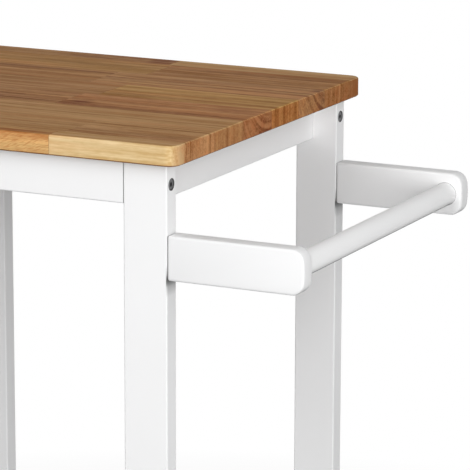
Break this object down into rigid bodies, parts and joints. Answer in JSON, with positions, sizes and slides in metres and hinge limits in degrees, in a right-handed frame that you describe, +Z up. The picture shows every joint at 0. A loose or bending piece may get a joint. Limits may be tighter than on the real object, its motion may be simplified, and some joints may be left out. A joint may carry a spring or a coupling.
{
  "type": "butcher block table",
  "caption": "Small kitchen work table: butcher block top on a white knock-down frame with a slatted lower shelf, and a round towel rail standing out from its right end.",
  "frame": {"origin": "on the floor, at the centre of the whole table's footprint, towel rail included", "axes": "+Z up from the floor, +X along the top's length towards the towel-rail end, -Y towards the front"},
  "size_m": [0.696, 0.496, 0.88],
  "materials": {
    "stave_pale": "oiled, satin",
    "stave_honey": "oiled, satin",
    "stave_tan": "oiled, satin",
    "stave_rosy": "oiled, satin",
    "stave_red": "oiled, satin",
    "white_paint": "white satin paint on wood",
    "bolt_steel": "dark zinc",
    "zinc_steel": "bright zinc",
    "screw_steel": "yellow zinc",
    "glide_plastic": "matt, off-white"
  },
  "bodies": {
    "root": {"apron_front": "white_paint", "apron_left": "white_paint", "apron_rear": "white_paint", "apron_right": "white_paint", "barrel_nuts": "zinc_steel", "foot_glides": "glide_plastic", "frame_bolts": "bolt_steel", "leg_front_left": "white_paint", "leg_front_right": "white_paint", "leg_rear_left": "white_paint", "leg_rear_right": "white_paint", "shelf_rail_front": "white_paint", "shelf_rail_left": "white_paint", "shelf_rail_rear": "white_paint", "shelf_rail_right": "white_paint", "shelf_slat_1": "white_paint", "shelf_slat_2": "white_paint", "shelf_slat_3": "white_paint", "shelf_slat_4": "white_paint", "shelf_slat_5": "white_paint", "shelf_slat_6": "white_paint", "shelf_slat_7": "white_paint", "shelf_slat_8": "white_paint", "top_screws": "screw_steel", "top_stave_1_left": "stave_honey", "top_stave_1_right": "stave_pale", "top_stave_2_left": "stave_tan", "top_stave_2_right": "stave_rosy", "top_stave_3_left": "stave_tan", "top_stave_3_right": "stave_pale", "top_stave_4_left": "stave_rosy", "top_stave_4_right": "stave_red", "top_stave_5_left": "stave_tan", "top_stave_5_right": "stave_honey", "top_stave_6_left": "stave_tan", "top_stave_6_right": "stave_rosy", "top_stave_7_left": "stave_pale", "top_stave_7_right": "stave_red", "top_stave_8_left": "stave_red", "top_stave_8_right": "stave_pale", "towel_arm_front": "white_paint", "towel_arm_rear": "white_paint", "towel_rail_bolts": "bolt_steel", "towel_rail_inserts": "zinc_steel", "towel_rod": "white_paint"}
  },
  "joints": []
}
